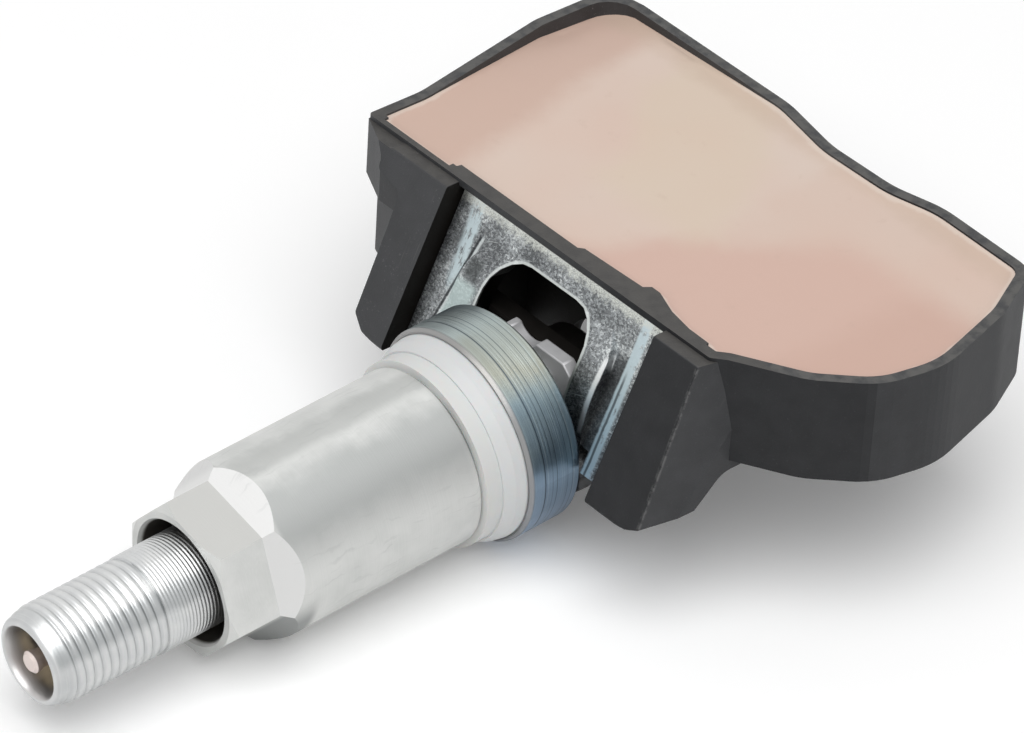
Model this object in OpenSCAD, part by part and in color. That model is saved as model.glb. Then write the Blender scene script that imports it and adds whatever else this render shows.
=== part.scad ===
// Clamp-in tyre pressure sensor with a valve that tilts on a curved bracket.
// Millimetres. The valve runs along Y and its open end points to -Y.
// The origin lies on the valve's axis, where the white seal meets the wheel rim.
// The housing is drawn in its own axes, centred on the tilt axis, and then tilted.

/* [Valve stem] */
// Distance from the rim seat to the open end of the stem
stem_reach = 37.6; // [34:0.2:44]
// Outer diameter of the cap thread
cap_thread_d = 7.7; // [7.5:0.05:7.85]
// Length of the cap thread
cap_thread_len = 9.7; // [9:0.1:12.6]
// Outer diameter of the stem under the nut
stem_d = 7.9; // [7.85:0.05:8.3]
// Bore that takes the valve core
core_bore_d = 5.3; // [5:0.05:5.5]
// Depth of the core bore
core_bore_len = 7.6; // [7:0.1:10]
// Bore behind the core's seat
seat_bore_d = 4.3; // [4.1:0.05:4.6]
// Length of the bore behind the core's seat
seat_bore_len = 8; // [7:0.1:10]
// Air passage through the middle of the stem
air_bore_d = 3; // [2.4:0.1:3.4]
// Width of the mouth at the open end of the stem
mouth_d = 5.9; // [5.7:0.05:6.2]
// Depth of the valve core's head below the open end
core_depth = 2.5; // [0.6:0.1:3]

/* [Foot of the stem] */
// Diameter of the hub between collar and foot
hub_d = 9.4; // [8.8:0.1:10]
// Length of the hub
hub_len = 1.7; // [1.4:0.05:2]
// Thickness of the foot plate
foot_t = 1.15; // [1:0.05:1.4]
// Height of the foot plate above the valve's axis
foot_up = 6.2; // [5.4:0.1:6.6]
// Depth of the foot plate below the valve's axis
foot_down = 4.4; // [4.3:0.1:4.8]
// Radius of the air notch in the foot's top edge
notch_r = 1.65; // [1.2:0.05:1.8]
// Depth of the air notch
notch_depth = 0.85; // [0.6:0.05:1.2]
// Distance from the valve's axis to the step in the foot's left shoulder
foot_step_x = 2.05; // [1.9:0.05:3]
// Height of that step
foot_step_h = 1.3; // [0.8:0.1:1.6]

// Half height of the saddle washer behind the foot
saddle_half_h = 5; // [4.8:0.1:5.4]
// Outer diameter of the valve core's spring
spring_d = 2.5; // [2.2:0.05:2.6]

/* [Support collar and seal] */
// Outer diameter of the support collar
collar_d = 17.3; // [17:0.1:18]
// Length of the support collar
collar_len = 4.8; // [4.6:0.1:5.4]
// Wall of the lip round the seal
collar_lip_t = 0.35; // [0.3:0.05:0.5]
// Depth of the recess for the seal
collar_recess = 1.5; // [1.2:0.1:2]
// Length of seal that stands out of the collar
seal_proud = 1.8; // [1.5:0.1:2.2]
// Outer diameter of the pilot that enters the rim's valve hole
pilot_d = 11.2; // [10.8:0.05:11.3]
// Length of the pilot
pilot_len = 2.6; // [2:0.1:3.2]

/* [Sleeve nut] */
// Outer diameter of the sleeve
sleeve_d = 14.2; // [13.8:0.1:15]
// Length of the nut
nut_len = 22.5; // [20:0.1:23.5]
// Hexagon across its flats
hex_af = 11; // [10.4:0.1:11.6]
// Length of the hexagon's flats
hex_len = 4.2; // [3.4:0.1:5.4]
// Length over which the flats run out to the sleeve
runout_len = 1.8; // [1.4:0.1:2.4]
// Bore at the nut's mouth
nut_mouth_d = 9.7; // [9:0.1:9.9]
// Depth of the mouth bore
nut_mouth_len = 4; // [3:0.1:6]
// Pitch of the nut's thread
nut_pitch = 0.75; // [0.5:0.05:1]
// Outer diameter of the slip washer
washer_d = 15.1; // [14.6:0.1:15.6]
// Thickness of the slip washer
washer_t = 1.4; // [1.2:0.05:1.8]

/* [Bracket] */
// Radius of the curved face that the collar bears on
dome_r = 12; // [11.8:0.05:12.3]
// Thickness of the bracket's sheet
sheet_t = 1.6; // [1.4:0.05:1.7]
// Width of the curved face
dome_w = 16.2; // [15.6:0.1:16.6]
// Width of the whole bracket
bracket_w = 23.4; // [22.8:0.1:24]
// Width of the slot
slot_w = 11; // [10.6:0.1:11.4]
// Upper end of the slot, as an angle on the curved face
slot_top_angle = 48; // [46:0.5:50]
// Lower end of the slot, as an angle on the curved face
slot_low_angle = -32; // [-33:0.5:-30]
// Corner radius of the slot
slot_corner_r = 3; // [2:0.1:4]
// Lean of the bracket's flat frame from upright
frame_lean = 24.9; // [24:0.1:26]

/* [Housing] */
// Tilt of the housing to the valve as assembled
rest_tilt = 4; // [0:0.5:8]
// Height of the rim above the tilt axis
rim_h = 11.6; // [11.4:0.1:12.2]
// Depth of the housing's tray
tray_depth = 8.8; // [8.7:0.1:9.4]
// Distance from the tilt axis to the front wall
body_front = 7.6; // [7.5:0.1:7.8]
// Distance from the valve's axis to the left end
body_left = 22.4; // [22.3:0.1:23]
// Extra reach of the far left corner
left_flare = 2.5; // [1:0.1:3]
// Depth of the dip in the back wall
back_dip = 1.1; // [0.5:0.1:2]
// Thickness of the tray's walls
wall = 0.9; // [0.8:0.05:1]
// Thickness of the tray's floor
floor_t = 1; // [0.9:0.05:1.1]
// Height of the wider upper flange at the left end
flange_h = 5.3; // [4.6:0.1:6]
// Step from the upper flange to the lower wall
flange_step = 0.7; // [0.6:0.1:1]
// Width of the left leg
left_leg_w = 4; // [3.6:0.1:4.4]
// Width of the right leg
right_leg_w = 5.4; // [5:0.1:5.8]
// Depth of the potting's face below the rim
potting_drop = 0.35; // [0.3:0.05:0.6]

/* [Electronics] */
// Thickness of the circuit board
board_t = 1; // [0.8:0.05:1.2]
// Height of the board's underside above the tray's floor
board_h = 4.1; // [4:0.1:4.3]
// Diameter of the battery cell
cell_d = 20; // [19:0.1:24.5]
// Thickness of the battery cell
cell_t = 3.2; // [2.5:0.1:3.4]
// Room between the cell and the right wall
cell_side_room = 1.8; // [1.6:0.1:2.6]
// Room between the cell and the back wall
cell_back_room = 0.8; // [0.6:0.1:1.6]
// Side of the pressure chip
chip_w = 6.4; // [5:0.1:7]
// Diameter of the pressure port in the floor
port_d = 1.8; // [1.2:0.1:2.4]
// Side of the radio chip
radio_w = 5; // [4:0.1:5.6]
// Length of the wake-up coil
coil_len = 8; // [6:0.1:9]
// Width of the wake-up coil
coil_w = 2.8; // [2:0.1:3]
// Length of the antenna strip
antenna_len = 17; // [14:0.1:18]
// Width of the antenna strip
antenna_w = 1.6; // [1:0.1:2]
// Length of a capacitor
capacitor_len = 2; // [1.4:0.1:2.4]
// Width of a capacitor
capacitor_w = 1.2; // [0.7:0.05:1.4]

/* [Hidden] */
$fn = 64;
far = 60;
eps = 0.01;

// Clearances
fit = 0.05;
loose = 0.2;
bracket_play = 0.35;
seat_gap = 0.2;
pot_gap = 0.05;

// Places along the valve, counted outwards from the rim seat
lip_at = -seal_proud;
collar_back = lip_at - collar_len;
hub_back = collar_back - hub_len;
foot_back = hub_back - foot_t;
hinge_y = -collar_back + seat_gap + dome_r;
nut_front = washer_t + nut_len;

// Angle of the hexagon's first flat as the nut stands when tight
hex_turn = 17.3;

// Housing heights above the tilt axis
base_h = rim_h - tray_depth;
floor_h = base_h + floor_t;
potting_h = rim_h - potting_drop;
board_low = floor_h + board_h;
board_top = board_low + board_t;

// Chamber behind the bracket, where the fixing screw swings
chamber_w = dome_w + 2 * loose;
chamber_roof = 9;
chamber_back = -3.2;
chamber_wall = 1;
skirt_low = -1.3;
driver_r = 3.2;

// The cell lies beside the chamber, and the right and back walls lie round the cell
cell_x = chamber_w / 2 + chamber_wall - 4.7 + cell_d / 2;
cell_y = chamber_back + chamber_wall - 0.3 + cell_d / 2;
body_right = cell_x + cell_d / 2 + cell_side_room + wall;
body_back = cell_y + cell_d / 2 + cell_back_room + wall;

// Lean of the legs and of the bracket's frame, as a point along Y at a height
leg_top_h = rim_h - 0.3;
leg_top_y = -body_front - 1.2;
function leg_front(h) = leg_top_y - (leg_top_h - h) * tan(frame_lean);
frame_set_back = 1.6 / cos(frame_lean);
frame_t = 1.5 / cos(frame_lean);
frame_top = rim_h - 0.6;
plate_cut = 1;
plate_cut_low = frame_top - 2.4;
dome_top = frame_top - 1.8;
dome_corner_r = 3;
frame_low = -0.9;
function frame_front(h) = leg_front(h) + frame_set_back;
function frame_rear(h) = frame_front(h) + frame_t;
function cut_rear(h) =
    let (top_y = frame_rear(frame_top) - plate_cut)
    top_y + (frame_rear(plate_cut_low) - top_y) * (frame_top - h) / (frame_top - plate_cut_low);
dome_inner_w = dome_w - 2.4;
dome_low = -8.6;

// Foot plate and saddle washer
foot_w = slot_w - 2 * loose;
foot_top_chamfer = 0.8;
foot_low_chamfer = 2;
saddle_w = dome_inner_w - 0.4;
saddle_back = foot_back - 1.95;
saddle_r = dome_r - sheet_t - fit * 2;

// Fixing screw
screw_d = 4.4;
screw_head_d = 8;
screw_head_t = 2.8;
screw_socket_af = 3;
screw_len = 7.6;

// Valve core
core_head_d = core_bore_d - 2 * fit;
core_head_out = stem_reach - core_depth;
core_seat_out = stem_reach - core_bore_len;
core_neck_d = 3.6;
core_end_out = core_seat_out - 5.4;
pin_d = 1.5;
pin_tip_d = 1.75;
pin_out = stem_reach - 0.1;
pin_travel = 0.5;
pin_tip_len = 0.55;
cup_d = 3.6;
cup_t = 1;
spring_wire_d = 0.35;
spring_turns = 6;
spring_low = core_end_out + 0.5;
spring_high = core_seat_out + 3;

// Places of the electronics, in the housing's own axes
port_x = -17;
port_y = 4;
port_seal_h = 2.3;
port_seal_d = port_d + 3.2;
chip_size = [chip_w, chip_w, board_low - floor_h - port_seal_h];
chip_at = [port_x - chip_w / 2, port_y - chip_w / 2, floor_h + port_seal_h];
cell_low = floor_h + 0.3;
tab_t = 0.3;
radio_at = [-12.5, 7, board_top];
radio_size = [radio_w, radio_w, 0.9];
crystal_at = [-5.5, 9.5, board_top];
crystal_size = [3.2, 2.5, 0.8];
coil_at = [-20, 12.5, board_top];
coil_base_h = 1;
winding_size = [coil_len - 2.4, coil_w - 0.4, 0.7];
antenna_at = [1, 13, board_top];
antenna_t = 0.45;
antenna_rise = 1.6;
capacitor_at = [-15, 2.5, board_top];
capacitor_count = 6;
capacitor_pitch = capacitor_w + 1;
mark_d = 2.4;
mark_count = 3;
panel_x = 8;
panel_y = 1;
panel_w = 14;
panel_len = 9;
panel_depth = 0.3;

// Turns whatever is drawn upwards so that it points out along the valve
module along_valve() {
    rotate([90, 0, 0]) children();
}

// Moves the housing's own axes onto the tilt axis
module in_housing() {
    translate([0, hinge_y, 0]) rotate([-rest_tilt, 0, 0]) children();
}

// Extrudes a side view drawn as [along Y, along Z] across X, from x0 to x1
module side_view(x0, x1) {
    translate([x0, 0, 0]) rotate([90, 0, 90]) linear_extrude(x1 - x0) children();
}

// Rounding of an outline's corners: each point is [x, y, radius]
function unit(v) = v / norm(v);
function flat(p) = [p[0], p[1]];
function turn(a, b, c) = let (u = flat(b) - flat(a), v = flat(c) - flat(b)) u[0] * v[1] - u[1] * v[0];
function corner(a, b, c, n) =
    let (
        u = unit(flat(a) - flat(b)),
        v = unit(flat(c) - flat(b)),
        half = acos(u * v) / 2,
        centre = flat(b) + unit(u + v) * b[2] / sin(half),
        from = flat(b) + u * b[2] / tan(half) - centre,
        sweep = (turn(a, b, c) > 0 ? 1 : -1) * (180 - 2 * half),
        start = atan2(from[1], from[0])
    )
    [for (k = [0:n]) centre + b[2] * [cos(start + sweep * k / n), sin(start + sweep * k / n)]];
function rounded(p, n = 5) =
    let (m = len(p))
    [for (i = [0:m - 1]) each corner(p[(i + m - 1) % m], p[i], p[(i + 1) % m], n)];

// Moves an outline's edges inwards by d, with its radii kept in step
function inset(p, d) =
    let (m = len(p))
    [for (i = [0:m - 1])
        let (
            a = p[(i + m - 1) % m],
            b = p[i],
            c = p[(i + 1) % m],
            u = unit(flat(b) - flat(a)),
            v = unit(flat(c) - flat(b)),
            nu = [-u[1], u[0]],
            nv = [-v[1], v[0]],
            shift = (nu + nv) * d / (1 + nu * nv),
            r = b[2] + (turn(a, b, c) > 0 ? -d : d)
        )
        [b[0] + shift[0], b[1] + shift[1], max(r, 0.2)]];

// Outline of the housing seen from above, with its left end drawn in by a step
function outline(step) = [
    [-body_left + step, -body_front + step * 0.9, 0.35],
    [16.4, -body_front + step * 0.1, 0.5],
    [17.4, -body_front + 0.9, 0.5],
    [body_right - 4.6, -body_front + 4, 6],
    [body_right - 1, 0.3, 6],
    [body_right, 5.6, 8],
    [body_right - 2.3, 13.6, 8],
    [body_right - 5.1, body_back - 0.2, 2.2],
    [12.5, body_back, 9],
    [8.2, body_back - back_dip, 9],
    [1.5, body_back - back_dip - 0.1, 9],
    [-4.5, body_back, 9],
    [-body_left - left_flare + step, body_back, 3.4],
    [-body_left - left_flare + step, 11, 6],
    [-body_left + step, -2.5, 8]
];

// Solid of the stem before its bores, turned about the valve's axis
module stem_body() {
    along_valve() rotate_extrude()
        polygon([
            [0, hub_back],
            [hub_d / 2, hub_back],
            [hub_d / 2, collar_back],
            [stem_d / 2, collar_back],
            [stem_d / 2, stem_reach - cap_thread_len - 0.3],
            [cap_thread_d / 2 - 0.35, stem_reach - cap_thread_len],
            [cap_thread_d / 2, stem_reach - cap_thread_len + 0.4],
            [cap_thread_d / 2, stem_reach - 0.6],
            [cap_thread_d / 2 - 0.55, stem_reach],
            [0, stem_reach]
        ]);
    translate([0, -foot_back, 0]) rotate([90, 0, 0]) linear_extrude(foot_t)
        polygon([
            [-foot_w / 2, foot_up - foot_step_h - foot_top_chamfer],
            [-foot_w / 2, -foot_down + foot_low_chamfer],
            [-foot_w / 2 + foot_low_chamfer, -foot_down],
            [foot_w / 2 - foot_low_chamfer, -foot_down],
            [foot_w / 2, -foot_down + foot_low_chamfer],
            [foot_w / 2, foot_up - foot_top_chamfer],
            [foot_w / 2 - foot_top_chamfer, foot_up],
            [-foot_step_x, foot_up],
            [-foot_step_x, foot_up - foot_step_h],
            [-foot_w / 2 + foot_top_chamfer, foot_up - foot_step_h]
        ]);
}

// Bores of the stem, from the open end to the foot
module stem_bores() {
    along_valve() rotate_extrude()
        polygon([
            [0, foot_back - 1],
            [screw_d / 2 + fit, foot_back - 1],
            [screw_d / 2 + fit, -foot_back - 2 * screw_len + 3],
            [air_bore_d / 2, -foot_back - 2 * screw_len + 4],
            [air_bore_d / 2, core_seat_out - seat_bore_len],
            [seat_bore_d / 2, core_seat_out - seat_bore_len + 0.5],
            [seat_bore_d / 2, core_seat_out - 1],
            [core_bore_d / 2, core_seat_out],
            [core_bore_d / 2, stem_reach - 0.5],
            [mouth_d / 2, stem_reach],
            [mouth_d / 2, stem_reach + 1],
            [0, stem_reach + 1]
        ]);
}

// Turned valve stem with its hub and the foot plate that slides in the slot
module valve_stem() {
    color("silver") difference() {
        stem_body();
        stem_bores();
        translate([0, -hub_back - 1, foot_up + notch_r - notch_depth])
            rotate([-90, 0, 0]) cylinder(h = foot_t + 2, r = notch_r);
    }
}

// Steel collar that holds the seal and bears on the bracket
module support_collar() {
    color("lightsteelblue") along_valve() rotate_extrude()
        polygon([
            [stem_d / 2 + fit, collar_back],
            [collar_d / 2 - 0.25, collar_back],
            [collar_d / 2, collar_back + 0.25],
            [collar_d / 2, lip_at - 0.3],
            [collar_d / 2 - 0.2, lip_at],
            [collar_d / 2 - collar_lip_t, lip_at],
            [collar_d / 2 - collar_lip_t, lip_at - collar_recess],
            [stem_d / 2 + fit, lip_at - collar_recess]
        ]);
}

// White seal: flange in the collar's recess and pilot for the rim's valve hole
module seal_grommet() {
    seal_r = collar_d / 2 - collar_lip_t - fit;
    color("white") along_valve() rotate_extrude()
        polygon([
            [stem_d / 2 + fit, lip_at - collar_recess],
            [seal_r, lip_at - collar_recess],
            [seal_r, lip_at + 0.1],
            [seal_r - 0.15, lip_at + 0.9],
            [washer_d / 2 + 0.15, 0],
            [pilot_d / 2, 0],
            [pilot_d / 2, pilot_len - 0.4],
            [pilot_d / 2 - 0.4, pilot_len],
            [stem_d / 2 + fit, pilot_len]
        ]);
}

// White slip washer between the nut and the rim
module slip_washer() {
    color("whitesmoke") along_valve() difference() {
        cylinder(h = washer_t, d = washer_d);
        translate([0, 0, -1]) cylinder(h = washer_t + 2, d = pilot_d + 2 * loose);
    }
}

// Cutter for one flat of the hexagon and its slanted run-out
module flat_cutter() {
    hex_back = nut_front - hex_len;
    rise = sleeve_d / 2 - hex_af / 2;
    rotate([90, 0, 0]) linear_extrude(sleeve_d, center = true)
        polygon([
            [hex_af / 2, nut_front + 1],
            [hex_af / 2, hex_back],
            [sleeve_d / 2 + rise, hex_back - 2 * runout_len],
            [sleeve_d, hex_back - 2 * runout_len],
            [sleeve_d, nut_front + 1]
        ]);
}

// Aluminium sleeve nut with a hexagon at its outer end
module sleeve_nut() {
    color("gainsboro") along_valve() difference() {
        rotate_extrude()
            polygon([
                [stem_d / 2 + fit, nut_front - nut_mouth_len],
                [nut_mouth_d / 2, nut_front - nut_mouth_len + 0.8],
                [nut_mouth_d / 2, nut_front - 0.4],
                [nut_mouth_d / 2 + 0.25, nut_front],
                [hex_af / 2 + 0.15, nut_front],
                [sleeve_d / 2, nut_front - 1],
                [sleeve_d / 2, washer_t + 0.3],
                [sleeve_d / 2 - 0.3, washer_t],
                [pilot_d / 2 + 2 * loose, washer_t],
                [pilot_d / 2 + 2 * loose, washer_t + pilot_len],
                [stem_d / 2 + fit, washer_t + pilot_len + 1]
            ]);
        for (i = [0:5]) rotate([0, 0, hex_turn + 60 * i]) flat_cutter();
    }
}

// Brass barrel of the valve core, with a driver slot across its head
module core_barrel() {
    color("goldenrod") along_valve() difference() {
        rotate_extrude()
            polygon([
                [pin_d / 2 + fit, spring_high],
                [pin_d / 2 + fit, core_head_out],
                [core_head_d / 2 - 0.3, core_head_out],
                [core_head_d / 2, core_head_out - 0.3],
                [core_head_d / 2, core_seat_out + 0.6],
                [core_neck_d / 2, core_seat_out + 0.6],
                [core_neck_d / 2, core_end_out],
                [core_neck_d / 2 - 0.4, core_end_out],
                [core_neck_d / 2 - 0.4, spring_high]
            ]);
        for (s = [-1, 1])
            translate([s * core_head_d / 2, 0, core_head_out])
                cube([core_head_d - 3.2, core_head_d, 3], center = true);
    }
}

// Sealing ring between the core's barrel and the seat in the stem
module core_gasket() {
    color("ivory") along_valve() rotate_extrude()
        polygon([
            [core_neck_d / 2 + fit, core_seat_out - 0.8],
            [seat_bore_d / 2 - fit, core_seat_out - 0.8],
            [core_bore_d / 2 - fit, core_seat_out + 0.1],
            [core_bore_d / 2 - fit, core_seat_out + 0.5],
            [core_neck_d / 2 + fit, core_seat_out + 0.5]
        ]);
}

// Pin that opens the core when it is pressed inwards
module core_pin() {
    color("mistyrose") along_valve() rotate_extrude()
        polygon([
            [0, core_end_out - cup_t - 0.7],
            [cup_d / 2 - 0.3, core_end_out - cup_t - 0.7],
            [cup_d / 2 - 0.3, core_end_out - cup_t],
            [pin_d / 2, core_end_out - cup_t],
            [pin_d / 2, pin_out - pin_tip_len],
            [pin_tip_d / 2, pin_out - pin_tip_len],
            [pin_tip_d / 2, pin_out - 0.2],
            [pin_tip_d / 2 - 0.2, pin_out],
            [0, pin_out]
        ]);
}

// Rubber cup that closes the core's inner end
module core_cup() {
    color("dimgray") along_valve() difference() {
        translate([0, 0, core_end_out - cup_t]) cylinder(h = cup_t, d = cup_d);
        translate([0, 0, core_end_out - cup_t - 1]) cylinder(h = cup_t + 2, d = pin_d + 2 * eps);
    }
}

// Points of one ring of the spring's wire
function spring_ring(a, z, n) =
    [for (k = [0:n - 1])
        let (r = spring_d / 2 - spring_wire_d / 2 + spring_wire_d / 2 * cos(360 * k / n))
        [r * cos(a), r * sin(a), z + spring_wire_d / 2 * sin(360 * k / n)]];

// Coil spring that pushes the pin outwards
module core_spring() {
    sides = 6;
    steps = spring_turns * 12;
    rise = spring_high - spring_low - spring_wire_d - 0.2;
    points = [for (i = [0:steps])
        each spring_ring(30 * i, spring_low + 0.1 + spring_wire_d / 2 + rise * i / steps, sides)];
    sides_faces = [for (i = [0:steps - 1], k = [0:sides - 1])
        let (a = i * sides + k, b = i * sides + (k + 1) % sides)
        [a, a + sides, b + sides, b]];
    ends = [[for (k = [0:sides - 1]) k], [for (k = [sides - 1:-1:0]) steps * sides + k]];
    color("gray") along_valve() polyhedron(points, concat(sides_faces, ends));
}

// Hollow screw that holds the stem's foot to the bracket from behind
module fixing_screw() {
    color("slategray") along_valve() difference() {
        rotate_extrude()
            polygon([
                [0, saddle_back - screw_head_t],
                [screw_head_d / 2 - 0.4, saddle_back - screw_head_t],
                [screw_head_d / 2, saddle_back - screw_head_t + 0.4],
                [screw_head_d / 2, saddle_back],
                [screw_d / 2, saddle_back],
                [screw_d / 2, saddle_back + screw_len - 0.4],
                [screw_d / 2 - 0.4, saddle_back + screw_len],
                [0, saddle_back + screw_len]
            ]);
        translate([0, 0, saddle_back - screw_head_t - 1])
            cylinder(h = 1 + screw_head_t * 0.6, d = screw_socket_af / cos(30), $fn = 6);
        translate([0, 0, saddle_back - screw_head_t - 1])
            cylinder(h = screw_len + screw_head_t + 2, d = 1.6);
    }
}

// Saddle-shaped washer that follows the inside of the curved bracket
module saddle_washer() {
    color("lightslategray") difference() {
        intersection() {
            translate([-saddle_w / 2, hinge_y, 0]) rotate([0, 90, 0])
                cylinder(h = saddle_w, r = saddle_r, $fn = 96);
            translate([-saddle_w / 2, -hub_back, -saddle_half_h])
                cube([saddle_w, -saddle_back + hub_back, 2 * saddle_half_h]);
        }
        translate([-foot_w / 2 - fit, -hub_back - 3, -foot_down - fit])
            cube([foot_w + 2 * fit, foot_t + 3, saddle_half_h + foot_down + 1]);
        along_valve() translate([0, 0, saddle_back - 1])
            cylinder(h = -saddle_back, d = screw_d + 2 * loose);
    }
}

// Side view of a leg
module leg_profile() {
    polygon(rounded([
        [leg_front(leg_top_h), leg_top_h, 0.3],
        [leg_front(-1.4), -1.4, 0.4],
        [-10.6, -1.5, 1.6],
        [-6.9, 1.9, 2],
        [-3.6, 2, 0.5],
        [-3.6, base_h + 1, 0.3],
        [-body_front + 0.6, leg_top_h, 0.3]
    ]));
}

// Right leg, whose outer face slants in towards its upper front corner
module right_leg() {
    inner = bracket_w / 2;
    outer = bracket_w / 2 + right_leg_w;
    difference() {
        side_view(inner, outer + 0.9) leg_profile();
        translate([outer - 0.6, leg_top_y, leg_top_h]) rotate([0, -9.4, -12.3])
            translate([0, -far / 2, -far / 2]) cube(far);
        translate([0, -far / 4, 0]) rotate([90, 0, 0]) linear_extrude(far, center = true)
            polygon([
                [inner - 1, -1.35],
                [inner + 2.6, -1.4],
                [outer - 1, -1],
                [outer + 0.2, -0.5],
                [outer + 2, -0.3],
                [outer + 2, -far / 4],
                [inner - 1, -far / 4]
            ]);
    }
}

// Slanted side of the left leg, from its outer edge back to the tray's left corner
module left_cheek(low, high, step, front_x) {
    translate([0, 0, low]) linear_extrude(high - low)
        polygon([
            [-body_left + step + 0.05, -body_front + 2],
            [-body_left + step + 0.05, -body_front + step * 0.9],
            [front_x, -body_front - 1.6],
            [-bracket_w / 2 - 1, -body_front - 1.6],
            [-bracket_w / 2 - 1, -body_front + 2]
        ]);
}

// Left leg, which widens towards the rim
module left_leg() {
    inner = -bracket_w / 2;
    outer = -bracket_w / 2 - left_leg_w;
    intersection() {
        side_view(outer - 3, inner) leg_profile();
        translate([0, -far / 4, 0]) rotate([90, 0, 0]) linear_extrude(far, center = true)
            polygon(rounded([
                [inner, leg_top_h, 0.1],
                [outer - 3.3, leg_top_h, 0.9],
                [outer - 2.9, leg_top_h - 1.8, 0.4],
                [outer - 0.1, leg_top_h - 2.3, 0.7],
                [outer + 0.1, leg_top_h - 5, 2],
                [outer + 0.3, 0, 0.4],
                [outer + 1.6, -0.9, 0.8],
                [inner, -1.4, 0.1]
            ]));
    }
    intersection() {
        union() {
            left_cheek(rim_h - flange_h, leg_top_h - 0.1, 0, outer - 3.2);
            left_cheek(-0.7, rim_h - flange_h + 0.5, flange_step, outer + 0.2);
        }
        side_view(-body_left, inner)
            polygon([
                [leg_front(leg_top_h), leg_top_h],
                [leg_front(-1), -1],
                [-body_front + 2, -1],
                [-body_front + 2, leg_top_h]
            ]);
    }
}

// Tray before it is hollowed: upper flange, lower wall and legs
module tray_body() {
    translate([0, 0, rim_h - flange_h]) linear_extrude(flange_h) polygon(rounded(outline(0)));
    translate([0, 0, base_h]) linear_extrude(tray_depth) polygon(rounded(outline(flange_step)));
    right_leg();
    left_leg();
    skirt();
}

// Skirt round the chamber below the tray's floor
module skirt() {
    w = chamber_w + 2 * chamber_wall;
    translate([-w / 2, -body_front - 4, skirt_low])
        cube([w, body_front + 4 + chamber_back + chamber_wall, base_h - skirt_low + 1]);
}

// Space inside the tray for the board, the cell and the potting
module tray_space(gap = 0) {
    top = gap > 0 ? potting_h : rim_h + 1;
    difference() {
        union() {
            translate([0, 0, rim_h - flange_h + wall])
                linear_extrude(top - rim_h + flange_h - wall)
                    polygon(rounded(inset(outline(0), wall + gap)));
            translate([0, 0, floor_h + gap]) linear_extrude(top - floor_h - gap)
                polygon(rounded(inset(outline(flange_step), wall + gap)));
            translate([-body_left + 1.3 + gap, -body_front + 0.5 + gap, rim_h - flange_h + wall])
                cube([body_left - 14.8 - gap, 1, top - rim_h + flange_h - wall]);
        }
        front_ledge(gap);
        chamber_walls(gap);
    }
}

// Thicker part of the front wall above the bracket
module front_ledge(gap) {
    translate([0, 0, base_h]) linear_extrude(far)
        polygon([
            [-13.6 - gap, -body_front - 1],
            [-13 - gap, -body_front + 1.3 + gap],
            [0.3, -body_front + 1.3 + gap],
            [0.7, -body_front + 1.65 + gap],
            [6.9, -body_front + 1.9 + gap],
            [7.3, -body_front + 2.45 + gap],
            [8.2, -body_front + 2.45 + gap],
            [10.5, -body_front + 1.6 + gap],
            [12.8, -body_front + 1.2 + gap],
            [15 + gap, -body_front + 1.15 + gap],
            [15 + gap, -body_front - 1]
        ]);
}

// Walls and roof of the chamber behind the bracket
module chamber_walls(gap) {
    w = chamber_w + 2 * chamber_wall + 2 * gap;
    translate([-w / 2, -body_front - 1, base_h - 1])
        cube([w, body_front + 1 + chamber_back + chamber_wall + gap,
            chamber_roof + chamber_wall + gap - base_h + 1]);
}

// Chamber behind the bracket, with a notch that lets a driver reach the screw
module chamber() {
    translate([-chamber_w / 2, -far / 2, -far / 2])
        cube([chamber_w, far / 2 + chamber_back, far / 2 + chamber_roof]);
    translate([0, chamber_back + chamber_wall + eps, 0]) rotate([90, 0, 0])
        cylinder(h = chamber_wall + 1, r = driver_r);
    translate([-driver_r, chamber_back - 0.5, -far / 2])
        cube([2 * driver_r, chamber_wall + 0.5 + eps, far / 2]);
}

// Seat for the bracket's flat frame, cut back from the legs' front
module bracket_seat() {
    side_view(-bracket_w / 2, bracket_w / 2)
        polygon([
            [cut_rear(frame_top), frame_top],
            [frame_rear(plate_cut_low), plate_cut_low],
            [frame_rear(-far / 3), -far / 3],
            [-far, -far / 3],
            [-far, frame_top]
        ]);
}

// Blank label panel and ejector marks on the underside
module underside_marks() {
    translate([panel_x, panel_y, base_h - 1]) cube([panel_w, panel_len, 1 + panel_depth]);
    for (i = [0:mark_count - 1])
        translate([-body_left + mark_d + i * body_left / 2, body_back - mark_d - 1.6, base_h - 1])
            cylinder(h = 1 + panel_depth / 2, d = mark_d);
}

// Black plastic housing: open tray, legs and the chamber behind the bracket
module housing() {
    color([0.16, 0.16, 0.17]) in_housing() difference() {
        tray_body();
        tray_space();
        chamber();
        bracket_seat();
        underside_marks();
        translate([port_x, port_y, 0]) cylinder(h = rim_h, d = port_d);
    }
}

// Outline of the curved face seen along the valve: rounded at its top, lower corners cut off
module dome_shadow() {
    translate([0, -far / 4, 0]) rotate([90, 0, 0]) linear_extrude(far, center = true)
        polygon(rounded([
            [-dome_w / 2, dome_top, dome_corner_r],
            [-dome_w / 2, -2.5, 0.5],
            [-dome_w / 2 + 0.5, -4, 0.5],
            [-dome_w / 2 + 3.7, -7.4, 0.5],
            [-dome_w / 2 + 5.5, dome_low - 0.2, 0.5],
            [dome_w / 2 - 5.5, dome_low - 0.2, 0.5],
            [dome_w / 2 - 3.7, -7.4, 0.5],
            [dome_w / 2 - 0.5, -4, 0.5],
            [dome_w / 2, -2.5, 0.5],
            [dome_w / 2, dome_top, dome_corner_r]
        ]));
}

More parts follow.
